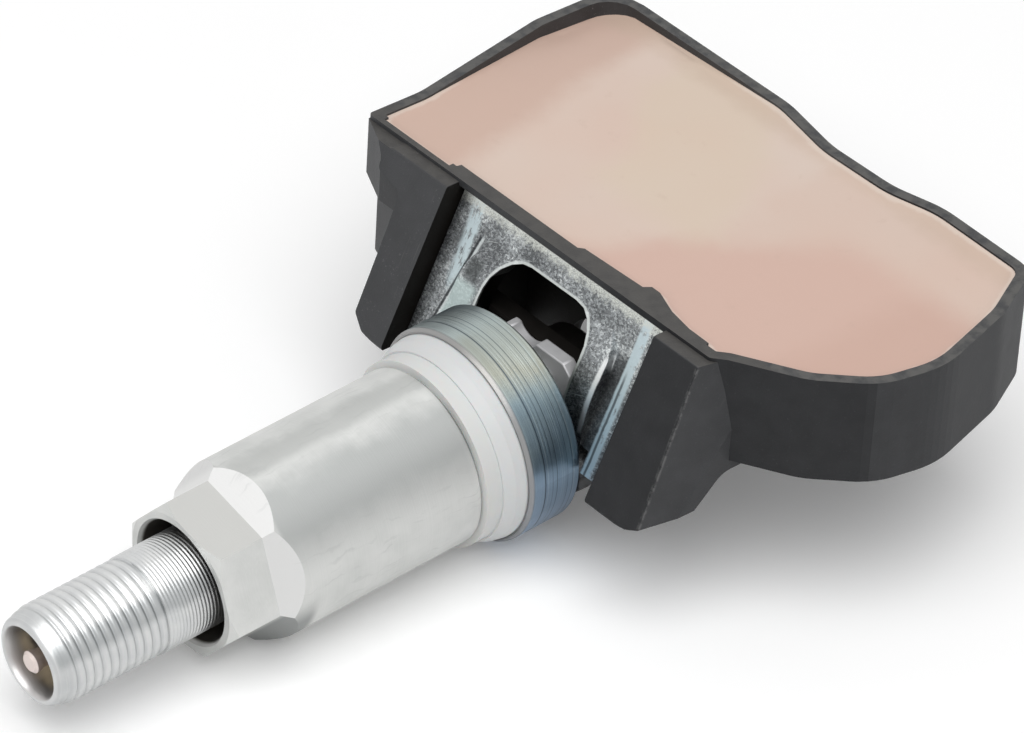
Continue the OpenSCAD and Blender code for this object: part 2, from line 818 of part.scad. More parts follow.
// Curved face with its side walls, before the slot is cut
module dome_shell() {
    difference() {
        intersection() {
            translate([-dome_w, 0, 0]) rotate([0, 90, 0]) cylinder(h = 2 * dome_w, r = dome_r, $fn = 128);
            dome_shadow();
            side_view(-dome_w, dome_w)
                polygon([
                    [cut_rear(dome_top) - 0.1, dome_top + 1],
                    [cut_rear(dome_top) - 0.1, dome_top],
                    [frame_rear(2) - 0.2, 2],
                    [frame_rear(2) + 6, dome_low],
                    [-far / 2, dome_low],
                    [-far / 2, dome_top + 1]
                ]);
        }
        translate([-dome_inner_w / 2, 0, 0]) rotate([0, 90, 0])
            cylinder(h = dome_inner_w, r = dome_r - sheet_t, $fn = 128);
    }
}

// Flat frame round the curved face, cut away where the collar swings past
module frame_plate() {
    difference() {
        side_view(-bracket_w / 2 + bracket_play, bracket_w / 2)
            polygon([
                [frame_front(frame_top), frame_top],
                [frame_front(frame_low), frame_low],
                [frame_rear(frame_low), frame_low],
                [frame_rear(plate_cut_low), plate_cut_low],
                [cut_rear(frame_top), frame_top]
            ]);
        translate([-dome_inner_w / 2 - 0.1, -far, -far / 2])
            cube([dome_inner_w + 0.2, 2 * far, far / 2 + chamber_roof - 0.8]);
        translate([-collar_d / 2 - 0.4, -far, -far / 2]) cube([collar_d + 0.8, 2 * far, far / 2 + 0.7]);
    }
}

// Stamped steel bracket that the valve bears on and tilts along
module bracket() {
    slot_mid = (slot_top_angle + slot_low_angle) / 2;
    slot_half = dome_r * sin((slot_top_angle - slot_low_angle) / 2);
    color("lightgray") in_housing() difference() {
        union() {
            dome_shell();
            frame_plate();
        }
        rotate([-slot_mid, 0, 0]) rotate([90, 0, 0]) linear_extrude(far)
            polygon(rounded([
                [-slot_w / 2, -slot_half, slot_corner_r],
                [slot_w / 2, -slot_half, slot_corner_r],
                [slot_w / 2, slot_half, slot_corner_r],
                [-slot_w / 2, slot_half, slot_corner_r]
            ]));
    }
}

// Box at a corner point, grown by a gap on every side
module block(at, size, gap = 0) {
    translate([at[0] - gap, at[1] - gap, at[2] - gap])
        cube([size[0] + 2 * gap, size[1] + 2 * gap, size[2] + 2 * gap]);
}

// Circuit board, kept clear of the chamber
module board_form(gap = 0) {
    side = chamber_w / 2 + chamber_wall + 0.6;
    front = chamber_back + chamber_wall + 0.6;
    translate([0, 0, board_low - gap]) linear_extrude(board_t + 2 * gap)
        polygon(rounded(inset([
            [-body_left + 2.6, -4, 1],
            [-side, -4, 1],
            [-side, front, 0.4],
            [side, front, 0.4],
            [side, -4, 1],
            [body_right - 8, -4, 1],
            [body_right - 3.6, 1, 2],
            [body_right - 4.4, body_back - 5.6, 2],
            [body_right - 6.8, body_back - 2.4, 1],
            [-body_left + 1.2, body_back - 2.6, 1]
        ], -gap)));
}

// Lithium coin cell under the board
module cell_form(gap = 0) {
    translate([cell_x, cell_y, cell_low - gap]) cylinder(h = cell_t - 0.3 + 2 * gap, d = cell_d + 2 * gap);
    translate([cell_x, cell_y, cell_low]) cylinder(h = cell_t + gap, d = cell_d - 2.4 + 2 * gap);
}

// Tab from the cell's upper face to the board
module upper_tab_form(gap = 0) {
    block([cell_x, cell_y - 2, cell_low + cell_t], [4, 4, tab_t], gap);
    block([cell_x, cell_y - 2, cell_low + cell_t], [tab_t, 4, board_low - cell_low - cell_t], gap);
}

// Tab from the cell's lower face round its edge to the board
module lower_tab_form(gap = 0) {
    x0 = cell_x - cell_d / 2 - 1;
    block([x0, cell_y - 2, cell_low - tab_t], [4, 4, tab_t], gap);
    block([x0, cell_y - 2, cell_low - tab_t], [tab_t, 4, board_low - cell_low + tab_t], gap);
}

// Coil on a ferrite core that wakes the sensor
module coil_form(gap = 0) {
    block(coil_at, [coil_len, coil_w, coil_base_h], gap);
    block(coil_at + [1.2, 0.2, coil_base_h], winding_size, gap);
}

// Bent strip that serves as the antenna
module antenna_form(gap = 0) {
    block(antenna_at, [antenna_t, antenna_w, antenna_rise], gap);
    block(antenna_at + [0, 0, antenna_rise - antenna_t], [antenna_len, antenna_w, antenna_t], gap);
    block(antenna_at + [antenna_len - antenna_t, 0, 0], [antenna_t, antenna_w, antenna_rise], gap);
}

// Row of small capacitors
module capacitor_form(gap = 0) {
    for (i = [0:capacitor_count - 1])
        block(capacitor_at + [capacitor_pitch * i, 0, 0], [capacitor_w, capacitor_len, 0.7], gap);
}

// Circuit board
module circuit_board() {
    color("darkgreen") in_housing() board_form();
}

// Battery cell
module battery() {
    color("gainsboro") in_housing() cell_form();
}

// Tab on the cell's upper face
module tab_upper() {
    color("silver") in_housing() upper_tab_form();
}

// Tab on the cell's lower face
module tab_lower() {
    color("silver") in_housing() lower_tab_form();
}

// Pressure chip over the port in the floor
module pressure_chip() {
    color("black") in_housing() block(chip_at, chip_size);
}

// Soft ring that joins the port to the chip
module port_seal() {
    color("dimgray") in_housing() translate([port_x, port_y, floor_h]) difference() {
        cylinder(h = port_seal_h, d = port_seal_d);
        translate([0, 0, -1]) cylinder(h = port_seal_h + 2, d = port_d);
    }
}

// Radio chip on top of the board
module radio_chip() {
    color("black") in_housing() block(radio_at, radio_size);
}

// Metal can of the crystal
module crystal_can() {
    color("silver") in_housing() block(crystal_at, crystal_size);
}

// Wake-up coil
module wake_coil() {
    color("sienna") in_housing() coil_form();
}

// Antenna strip
module antenna() {
    color("peru") in_housing() antenna_form();
}

// Capacitors
module capacitors() {
    color("tan") in_housing() capacitor_form();
}

// Potting compound that fills the tray and shows as its pale face
module potting() {
    color([0.86, 0.76, 0.68]) in_housing() difference() {
        tray_space(pot_gap);
        board_form(pot_gap);
        cell_form(pot_gap);
        upper_tab_form(pot_gap);
        lower_tab_form(pot_gap);
        block(chip_at, chip_size, pot_gap);
        translate([port_x, port_y, base_h]) cylinder(h = board_low - base_h, d = port_seal_d + 2 * pot_gap);
        block(radio_at, radio_size, pot_gap);
        block(crystal_at, crystal_size, pot_gap);
        coil_form(pot_gap);
        antenna_form(pot_gap);
        capacitor_form(pot_gap);
    }
}

valve_stem();
support_collar();
seal_grommet();
slip_washer();
sleeve_nut();
core_barrel();
core_gasket();
core_pin();
core_cup();
core_spring();
fixing_screw();
saddle_washer();
housing();
bracket();
potting();
circuit_board();
battery();
tab_upper();
tab_lower();
pressure_chip();
port_seal();
radio_chip();
crystal_can();
wake_coil();
antenna();
capacitors();
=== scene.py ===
import math

import bmesh
import bpy
from mathutils import Matrix, Vector
from mathutils.geometry import delaunay_2d_cdt


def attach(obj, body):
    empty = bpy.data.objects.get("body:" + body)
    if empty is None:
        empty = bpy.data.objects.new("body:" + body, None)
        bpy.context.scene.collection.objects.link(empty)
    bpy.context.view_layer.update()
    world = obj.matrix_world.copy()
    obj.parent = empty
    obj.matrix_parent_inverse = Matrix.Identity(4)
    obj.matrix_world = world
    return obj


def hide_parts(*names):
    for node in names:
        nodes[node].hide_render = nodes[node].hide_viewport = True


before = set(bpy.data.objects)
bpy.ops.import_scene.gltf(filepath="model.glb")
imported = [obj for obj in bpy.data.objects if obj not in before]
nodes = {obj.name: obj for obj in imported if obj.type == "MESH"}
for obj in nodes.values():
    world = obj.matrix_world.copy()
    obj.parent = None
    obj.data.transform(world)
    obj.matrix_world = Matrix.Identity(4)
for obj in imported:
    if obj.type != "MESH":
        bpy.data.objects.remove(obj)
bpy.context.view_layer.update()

# Sizes in millimetres, in the row frame unless said otherwise
MM = 0.001

# Tilt axis of the housing, and the directions of the housing's own axes
HINGE_Y = 18.8
TILT = math.radians(4.0)
HOUSING_BACK = (0.0, math.cos(TILT), -math.sin(TILT))
HOUSING_UP = (0.0, math.sin(TILT), math.cos(TILT))

# Stem, with distances measured outwards along the valve from the rim seat
STEM_R = 3.95
CAP_R = 3.85
HUB_R = 4.70
MOUTH_R = 3.00
CORE_BORE_R = 2.65
SEAT_BORE_R = 2.15
AIR_BORE_R = 1.5
SCREW_BORE_R = 2.25
FINE_FROM = 17.8
FINE_PITCH = 0.30
FINE_DEPTH = 0.032
CAP_FROM = 27.9
CAP_TO = 36.9
CAP_PITCH = 0.74
CAP_DEPTH = 0.17
TAPER_FROM = 35.6

# Foot plate of the stem
FOOT_NEAR = 8.30
FOOT_FAR = 9.45
FOOT_TOP = 6.2
NOTCH_Z = 7.0
NOTCH_R = 1.65

# Where the nut's run-outs end and its plain sleeve begins
SLEEVE_FROM = -18.8

# Bracket, in the housing's own axes
DOME_R = 12.0
SLOT_TURN = math.radians(8.0)
SLOT_HALF_W = 5.5
SLOT_HALF_H = 7.71
SLOT_CORNER = 3.0

# Front corner of the right leg, with the directions across its two faces
LEG_CORNER = (16.5, -8.8, 11.3)
LEG_FRONT = (0.0, 1.0, -0.4642)
LEG_SIDE = (0.964, -0.2102, 0.1633)

# Potting, in the housing's own axes
POT_FACE = 11.12
POT_FLOOR = 9.6
POT_MESH = 0.55
MENISCUS = 0.30

# The floor lies just below the collar and the sleeve, which the object rests on
COLLAR_FOOT_Y = 4.2
COLLAR_R = 8.65
SLEEVE_FOOT_Y = -22.4
SLEEVE_R = 7.1
FLOOR_GAP = 0.07
FLOOR_SIZE_M = 1.2
FLOOR_GLOW = 0.10

# Strength of the world where it lights the object, and where it is seen
WORLD_LIGHT = 0.40
WORLD_SEEN = 1.0

# Camera, with its place in metres
LENS = 238.5
CAMERA_RIGHT = (0.6447, 0.7644, -0.0022)
CAMERA_UP = (-0.4753, 0.4031, 0.7820)
CAMERA_BACK = (0.5987, -0.5031, 0.6233)
CAMERA_PLACE = (0.29956, -0.24450, 0.31567)


def local(x, u, w):
    """A point given in the housing's own axes, in row millimetres."""
    c, s = math.cos(TILT), math.sin(TILT)
    return (x, HINGE_Y + u * c + w * s, w * c - u * s)


def clamp(value):
    return max(0.0, min(1.0, value))


def grey(v):
    return (v, v, v)


def faded(tint, share):
    return tuple(c * share for c in tint)


def show(name, data):
    obj = bpy.data.objects.new(name, data)
    bpy.context.scene.collection.objects.link(obj)
    return obj


def make(name, verts, faces, angle=35.0):
    """A smooth mesh with sharp edges past the angle and with its faces turned outwards."""
    mesh = bpy.data.meshes.new(name)
    mesh.from_pydata([tuple(c * MM for c in v) for v in verts], [], faces)
    mesh.validate()
    mesh.update()
    for p in mesh.polygons:
        p.use_smooth = True
    mesh.set_sharp_from_angle(angle=math.radians(angle))
    bm = bmesh.new()
    bm.from_mesh(mesh)
    bmesh.ops.recalc_face_normals(bm, faces=bm.faces)
    bm.to_mesh(mesh)
    bm.free()
    mesh.update()
    return show(name, mesh)


def lathe(name, rings, n, angle):
    """Closed rings of (radius or function of the angle, distance outwards along the valve)."""
    verts, faces = [], []
    for r, t in rings:
        for k in range(n):
            a = 2 * math.pi * k / n
            rr = r(a) if callable(r) else r
            verts.append((rr * math.cos(a), -t, rr * math.sin(a)))
    m = len(rings)
    for i in range(m):
        j = (i + 1) % m
        for k in range(n):
            q = (k + 1) % n
            faces.append((i * n + k, i * n + q, j * n + q, j * n + k))
    return make(name, verts, faces, angle)


def prism(name, outline_xz, y0, y1):
    n = len(outline_xz)
    verts = [(x, y, z) for y in (y0, y1) for x, z in outline_xz]
    faces = [tuple(reversed(range(n))), tuple(range(n, 2 * n))]
    faces += [(i, (i + 1) % n, n + (i + 1) % n, n + i) for i in range(n)]
    return make(name, verts, faces)


# Materials

class Mat:
    """A procedural material, with coordinates in millimetres."""

    def __init__(self, name, shiny=0.0):
        self.mat = bpy.data.materials.new(name)
        self.mat.use_nodes = True
        self.tree = self.mat.node_tree
        self.bsdf = self.tree.nodes["Principled BSDF"]
        self.set("Metallic", shiny)
        coord = self.node("ShaderNodeTexCoord")
        self.normal = coord.outputs["Normal"]
        scale = self.node("ShaderNodeVectorMath", operation="SCALE")
        scale.inputs["Scale"].default_value = 1.0 / MM
        self.link(coord.outputs["Object"], scale.inputs[0])
        self.p = scale.outputs[0]
        self.last_bump = None

    def set(self, socket, value):
        self.put(value, self.bsdf.inputs[socket])

    def node(self, kind, **props):
        n = self.tree.nodes.new(kind)
        for k, v in props.items():
            setattr(n, k, v)
        return n

    def link(self, a, b):
        self.tree.links.new(a, b)

    def put(self, value, socket):
        if isinstance(value, bpy.types.NodeSocket):
            self.link(value, socket)
        else:
            socket.default_value = value

    def math(self, op, *values):
        n = self.node("ShaderNodeMath", operation=op)
        for value, socket in zip(values, n.inputs):
            self.put(value, socket)
        return n.outputs[0]

    def vector(self, op, a, b):
        n = self.node("ShaderNodeVectorMath", operation=op)
        self.put(a, n.inputs[0])
        self.put(b, n.inputs[1])
        return n.outputs["Value" if op == "DOT_PRODUCT" else "Vector"]

    def product(self, first, *others):
        for other in others:
            first = self.math("MULTIPLY", first, other)
        return first

    def total(self, first, *others):
        for other in others:
            first = self.math("ADD", first, other)
        return first

    def line(self, value, slope, shift):
        """The value times the slope, plus the shift."""
        return self.math("MULTIPLY_ADD", value, slope, shift)

    def rest_of(self, mask):
        return self.math("SUBTRACT", 1.0, mask)

    def length(self, a, b):
        return self.math("SQRT", self.total(self.product(a, a), self.product(b, b)))

    def step(self, value, low, high):
        """0 at low and 1 at high, smooth between."""
        n = self.node("ShaderNodeMapRange", interpolation_type="SMOOTHSTEP")
        self.put(value, n.inputs["Value"])
        n.inputs["From Min"].default_value = low
        n.inputs["From Max"].default_value = high
        return n.outputs[0]

    def window(self, value, a, b, c, d):
        """1 from b to c, and 0 before a and after d."""
        return self.product(self.step(value, a, b), self.step(value, d, c))

    def near(self, value, place, inner, outer):
        """1 within the inner distance of a place, and 0 beyond the outer one."""
        away = self.math("ABSOLUTE", self.math("SUBTRACT", value, place))
        return self.step(away, outer, inner)

    def sep(self, vec):
        n = self.node("ShaderNodeSeparateXYZ")
        self.put(vec, n.inputs[0])
        return n.outputs[0], n.outputs[1], n.outputs[2]

    def join(self, *parts):
        n = self.node("ShaderNodeCombineXYZ")
        for value, socket in zip(parts, n.inputs):
            self.put(value, socket)
        return n.outputs[0]

    def dot(self, a, b):
        return self.vector("DOT_PRODUCT", a, b)

    def scaled(self, vec, x, y, z):
        return self.vector("MULTIPLY", vec, (x, y, z))

    def shifted(self, vec, seed):
        """The same vector in another part of a pattern."""
        return self.vector("ADD", vec, (seed, seed * 0.37, seed * 1.7))

    def turned(self, vec, x=0.0, y=0.0):
        n = self.node("ShaderNodeMapping")
        self.put(vec, n.inputs["Vector"])
        n.inputs["Rotation"].default_value = (x, y, 0.0)
        return n.outputs[0]

    def housing_axes(self):
        return self.turned(self.vector("SUBTRACT", self.p, (0.0, HINGE_Y, 0.0)), x=TILT)

    def from_plane(self, vec, point, facing):
        """Distance from a plane through a point."""
        return self.math("SUBTRACT", self.dot(vec, facing), sum(a * b for a, b in zip(point, facing)))

    def radius(self):
        """Distance from the valve's axis."""
        x, _, z = self.sep(self.p)
        return self.length(x, z)

    def angle(self):
        """Angle round the valve's axis, 0 towards +X and rising towards +Z."""
        x, _, z = self.sep(self.p)
        return self.math("ARCTAN2", z, x)

    def lathe_lines(self, fine):
        """Coordinates for turning lines, the same all round the valve's axis."""
        return self.join(self.product(self.radius(), fine), self.product(self.sep(self.p)[1], fine), 0.0)

    def noise(self, vec, scale, detail=2.0, rough=0.5):
        n = self.node("ShaderNodeTexNoise")
        self.put(vec, n.inputs["Vector"])
        n.inputs["Scale"].default_value = scale
        n.inputs["Detail"].default_value = detail
        n.inputs["Roughness"].default_value = rough
        return n.outputs[0]

    def cells(self, vec, scale):
        """A random value for each cell of a broken-up pattern."""
        n = self.node("ShaderNodeTexVoronoi", feature="F1")
        self.put(vec, n.inputs["Vector"])
        n.inputs["Scale"].default_value = scale
        return self.sep(n.outputs["Color"])[0]

    def ramp(self, fac, stops):
        n = self.node("ShaderNodeValToRGB")
        self.put(fac, n.inputs[0])
        e = n.color_ramp.elements
        while len(e) < len(stops):
            e.new(0.5)
        for element, (place, tint) in zip(e, stops):
            element.position = place
            element.color = (*tint, 1.0)
        return n.outputs[0]

    def mix(self, mask, a, b):
        n = self.node("ShaderNodeMix", data_type="RGBA")
        self.put(mask, n.inputs[0])
        for value, socket in ((a, n.inputs[6]), (b, n.inputs[7])):
            self.put((*value, 1.0) if isinstance(value, tuple) else value, socket)
        return n.outputs[2]

    def paint(self, col, mask, amount, tint):
        """Lay a tint over the colour where the mask is set."""
        return self.mix(self.product(mask, amount), col, tint)

    def blend(self, fac, a, b):
        n = self.node("ShaderNodeMix", data_type="FLOAT")
        self.put(fac, n.inputs[0])
        self.put(a, n.inputs[2])
        self.put(b, n.inputs[3])
        return n.outputs[0]

    def bump(self, height, depth_mm, strength=1.0):
        n = self.node("ShaderNodeBump")
        n.inputs["Strength"].default_value = strength
        n.inputs["Distance"].default_value = depth_mm * MM
        self.put(height, n.inputs["Height"])
        if self.last_bump is not None:
            self.link(self.last_bump, n.inputs["Normal"])
        self.last_bump = n.outputs[0]

    def done(self, color, rough):
        self.set("Base Color", color)
        self.set("Roughness", rough)
        if self.last_bump is not None:
            self.set("Normal", self.last_bump)
        return self.mat


def housing_material():
    m = Mat("housing_plastic")
    q = m.housing_axes()
    x, u, w = m.sep(q)
    nx, ny, _ = m.sep(m.normal)
    upwards = m.step(m.dot(m.normal, HOUSING_UP), 0.9, 0.98)
    cloud = m.noise(q, 0.5, 3.0)
    col = m.ramp(cloud, [(0.3, (0.030, 0.031, 0.033)), (0.7, (0.042, 0.043, 0.046))])
    dusty = m.product(upwards, m.step(m.noise(q, 1.1, 3.0), 0.30, 0.62))
    col = m.paint(col, dusty, 0.9, (0.088, 0.086, 0.082))
    front_rim = m.product(upwards, m.step(u, -4.6, -5.2))
    col = m.paint(col, front_rim, 0.7, (0.048, 0.045, 0.042))
    # Flecks and streaks, more of them where the left end is rubbed
    patchy_mask = m.product(m.step(m.noise(q, 0.35, 2.0), 0.42, 0.62), m.step(x, -6.0, -12.0))
    flecks = m.step(m.noise(q, 5.0, 4.0, 0.75), 0.60, 0.74)
    col = m.paint(col, flecks, m.line(patchy_mask, 0.60, 0.16), (0.22, 0.22, 0.23))
    brushed = m.scaled(m.turned(q, x=0.35), 6.0, 0.7, 0.25)
    streak = m.step(m.noise(brushed, 1.2, 3.0, 0.7), 0.62, 0.75)
    col = m.paint(col, streak, m.line(patchy_mask, 0.10, 0.03), grey(0.25))
    # Worn edge of the right leg
    worn = m.product(m.near(m.from_plane(q, LEG_CORNER, LEG_FRONT), 0.0, 0.10, 0.26),
                     m.near(m.from_plane(q, LEG_CORNER, LEG_SIDE), 0.0, 0.10, 0.26),
                     m.step(m.noise(q, 2.2, 3.0, 0.7), 0.36, 0.58))
    col = m.paint(col, worn, 0.55, grey(0.16))
    # The chamber behind the slot and the gap between the left leg and the bracket are painted near-black as
    # shade
    chamber = m.product(m.step(w, 9.7, 9.3), m.step(m.math("ABSOLUTE", x), 8.7, 8.35),
                        m.window(u, -8.5, -8.2, -2.6, -2.4))
    gap = m.product(m.step(nx, 0.5, 0.8), m.window(x, -13.0, -12.4, -9.6, -9.0), m.step(u, -2.0, -2.6))
    for shade_spot in (chamber, gap):
        col = m.mix(shade_spot, col, (0.008, 0.007, 0.006))
    # Front faces right of the valve, and the right end, are painted a little darker as shade, and are duller
    front = m.product(m.step(ny, -0.35, -0.60), m.step(x, 2.0, 9.0))
    end = m.product(m.step(nx, 0.5, 0.8), m.step(x, 16.0, 20.0), 0.5)
    shade_and_dull = m.math("MAXIMUM", front, end)
    col = m.paint(col, shade_and_dull, 0.45, (0.012, 0.012, 0.013))
    m.bump(m.noise(q, 7.0, 3.0, 0.6), 0.02)
    m.bump(cloud, 0.05, 0.5)
    m.set("Specular IOR Level", m.blend(m.math("MAXIMUM", shade_and_dull, gap), 0.40, 0.16))
    return m.done(col, m.blend(cloud, 0.46, 0.66))


def potting_material():
    m = Mat("potting_resin")
    q = m.housing_axes()
    x, u, w = m.sep(q)
    wander = m.line(m.noise(q, 0.10, 3.0, 0.5), 9.0, -4.5)
    fine = m.line(m.noise(q, 0.55, 4.0, 0.6), 1.6, -0.8)
    base = m.ramp(m.noise(q, 0.08, 2.0), [(0.3, (0.675, 0.520, 0.440)), (0.7, (0.680, 0.560, 0.485))])
    # Darker, pinker band along the left end, and a pinker right half
    side = m.total(m.line(u, 0.22, x), fine, m.product(wander, 0.25))
    col = m.paint(base, m.step(side, -13.0, -16.4), 0.95, (0.60, 0.43, 0.355))
    right_half = m.step(m.total(x, wander, fine), 2.0, 5.5)
    col = m.paint(col, right_half, 0.45, (0.650, 0.485, 0.405))
    # Pinker patch to the front right, deepest in the corner
    far = m.total(m.line(u, -0.75, x), m.line(wander, 0.9, fine))
    patch = m.product(m.step(far, 0.5, 5.5), m.step(m.total(u, fine), 13.0, 8.5))
    col = m.paint(col, patch, 0.85, (0.630, 0.430, 0.360))
    corner_patch = m.product(patch, m.step(m.total(x, fine), 17.0, 21.5))
    col = m.paint(col, corner_patch, 0.6, (0.580, 0.385, 0.315))
    # Yellower middle
    middle = m.total(m.line(u, 0.45, x), wander)
    yellow = m.product(m.window(middle, -8.5, -5.0, 4.0, 8.0), m.step(u, -1.0, 3.5))
    col = m.paint(col, yellow, 0.50, (0.665, 0.555, 0.430))
    # Warmer rim along the back, small darker blots, a pale raised edge and specks
    back = m.step(m.total(u, fine), 15.2, 17.6)
    col = m.paint(col, back, 0.55, (0.56, 0.43, 0.34))
    blot = m.step(m.noise(q, 0.45, 4.0, 0.65), 0.60, 0.74)
    col = m.paint(col, blot, 0.16, (0.52, 0.37, 0.30))
    raised = m.step(m.line(m.noise(q, 2.0, 3.0, 0.6), 0.10, w), 11.27, 11.40)
    col = m.paint(col, raised, 0.6, (0.74, 0.64, 0.565))
    speck = m.step(m.noise(q, 3.5, 2.0, 0.6), 0.68, 0.78)
    col = m.paint(col, speck, 0.12, (0.48, 0.35, 0.29))
    m.bump(m.noise(q, 0.35, 3.0), 0.05, 0.5)
    m.bump(m.noise(q, 6.0, 2.0), 0.006, 0.6)
    m.set("Specular IOR Level", 0.35)
    return m.done(col, m.blend(m.noise(q, 0.6, 2.0), 0.42, 0.58))


def zinc_material():
    m = Mat("bracket_zinc", 1.0)
    q = m.housing_axes()
    x, u, w = m.sep(q)
    # Spangled ground with fine scratches
    spangle = m.cells(m.scaled(q, 1.0, 1.0, 1.2), 6.0)
    fleck = m.noise(q, 11.0, 3.0, 0.7)
    value = m.total(m.product(spangle, 0.35), m.product(fleck, 0.70),
                    m.line(m.noise(q, 0.30, 2.0), 0.9, -0.48))
    col = m.ramp(value, [(0.26, (0.10, 0.105, 0.11)), (0.46, (0.19, 0.20, 0.205)),
                         (0.64, (0.34, 0.36, 0.37)), (0.84, (0.72, 0.75, 0.75))])
    scratches = 0.0
    for turn, seed in ((0.5, 3.0), (1.9, 11.0), (2.7, 23.0)):
        along = m.scaled(m.turned(q, x=turn, y=turn * 0.7), 0.25, 7.0, 7.0)
        lines = m.step(m.noise(m.shifted(along, seed), 1.3, 2.0, 0.5), 0.68, 0.71)
        scratches = m.math("MAXIMUM", scratches, lines)
    col = m.paint(col, scratches, 0.5, (0.72, 0.76, 0.76))
    # Smooth pale band left of the curved face
    wander = m.line(m.noise(q, 0.6, 2.0), 1.6, -0.8)
    torn = m.step(m.noise(m.scaled(q, 2.2, 1.0, 0.5), 1.5, 4.0, 0.7), 0.36, 0.52)
    lean = m.total(m.line(w, 0.06, x), m.product(wander, 0.3))
    left_band = m.product(m.window(lean, -9.70, -9.10, -8.35, -7.95), torn, m.step(w, 3.6, 5.2))
    col = m.paint(col, left_band, 0.9, (0.58, 0.68, 0.71))
    # Right of the curved face a band of painted shade in the valley, a pale one with a slit, and a dark edge
    side = m.total(x, m.product(wander, 0.12))
    valley_shade = m.product(m.window(side, 7.9, 8.15, 9.1, 9.4), m.step(w, 8.3, 7.2))
    col = m.paint(col, valley_shade, 0.72, (0.05, 0.052, 0.055))
    smooth = m.step(m.noise(m.scaled(q, 1.0, 1.0, 0.3), 1.4, 3.0, 0.6), 0.28, 0.44)
    right_band = m.product(m.window(side, 9.05, 9.25, 10.0, 10.25), smooth)
    col = m.paint(col, right_band, 0.92, (0.56, 0.66, 0.70))
    slit = m.product(m.near(side, 9.52, 0.06, 0.16), m.step(w, 7.2, 5.8))
    col = m.paint(col, slit, 0.8, (0.07, 0.075, 0.08))
    dark_edge = m.product(m.step(side, 10.2, 10.4), m.step(m.noise(q, 3.0, 3.0, 0.7), 0.62, 0.45))
    col = m.paint(col, dark_edge, 0.55, (0.05, 0.052, 0.055))
    # Scuffed bright upper edge
    scuff = m.line(m.noise(q, 2.6, 4.0, 0.75), 1.9, -0.95)
    top = m.step(m.total(w, scuff, m.product(wander, 0.3)), 9.9, 10.5)
    col = m.paint(col, top, m.line(m.step(fleck, 0.38, 0.56), 0.55, 0.35), (0.68, 0.70, 0.65))
    # Left edge of the curved face: a painted shadow line with a painted highlight along its shoulder, and
    # beside it a patch of painted shade and a painted reflection
    run = m.total(x, m.line(w, -0.20, 8.15 + 8.5 * 0.20))
    span = m.product(m.step(w, 8.9, 8.5), m.step(x, -5.0, -6.0))
    col = m.paint(col, m.product(m.near(run, 0.0, 0.06, 0.17), span), 0.85, (0.03, 0.032, 0.035))
    shoulder_highlight = m.product(m.window(run, 0.10, 0.20, 0.34, 0.46), span)
    col = m.paint(col, shoulder_highlight, 0.7, (0.68, 0.73, 0.73))
    height = m.total(w, m.product(wander, 0.3))
    shade_patch = m.product(m.near(side, -7.05, 0.45, 0.95), m.near(height, 6.9, 0.5, 0.95))
    col = m.paint(col, shade_patch, 0.75, (0.06, 0.065, 0.065))
    # The glow is a painted reflection on the curved face
    glow = m.product(m.step(w, 6.3, 5.6), m.step(x, -5.6, -6.4), m.step(run, 0.2, 0.45))
    col = m.paint(col, glow, 0.75, (0.48, 0.58, 0.57))
    # Painted highlight along the rib on the right, broken up in patches
    patchy_mask = m.step(m.noise(m.scaled(q, 1.0, 1.0, 0.4), 1.2, 2.0), 0.30, 0.50)
    rib_highlight = m.product(m.window(side, 7.45, 7.70, 7.95, 8.10), m.step(w, 7.6, 7.0), patchy_mask)
    col = m.paint(col, rib_highlight, 0.85, (0.90, 0.92, 0.92))
    # A thin bright rim round the slot, whose cut faces are painted near-black as shade
    reach = m.length(u, w)
    across = m.math("ABSOLUTE", x)
    along = m.total(m.product(w, math.cos(SLOT_TURN)), m.product(u, math.sin(SLOT_TURN)))
    past_x = m.math("MAXIMUM", m.math("SUBTRACT", across, SLOT_HALF_W - SLOT_CORNER), 0.0)
    past_w = m.math("SUBTRACT", m.math("ABSOLUTE", along), SLOT_HALF_H - SLOT_CORNER)
    past_w = m.math("MAXIMUM", past_w, 0.0)
    outside = m.math("SUBTRACT", m.length(past_x, past_w), SLOT_CORNER)
    rim = m.product(m.step(outside, 0.26, 0.14), m.step(reach, DOME_R - 0.20, DOME_R - 0.10))
    col = m.paint(col, rim, 0.7, (0.72, 0.76, 0.74))
    facing = m.total(m.product(m.dot(m.normal, HOUSING_BACK), u), m.product(m.dot(m.normal, HOUSING_UP), w))
    cut = m.step(m.math("ABSOLUTE", m.math("DIVIDE", facing, reach)), 0.80, 0.55)
    inside = m.product(m.step(reach, DOME_R - 0.14, DOME_R - 0.26), m.step(across, 6.6, 6.3), cut)
    col = m.mix(inside, col, (0.012, 0.011, 0.010))
    # Low part in the shade
    col = m.paint(col, m.step(w, -1.2, -2.8), 0.85, (0.045, 0.045, 0.048))
    m.bump(fleck, 0.012, 0.5)
    m.bump(spangle, 0.006, 0.4)
    return m.done(col, m.blend(fleck, 0.26, 0.44))


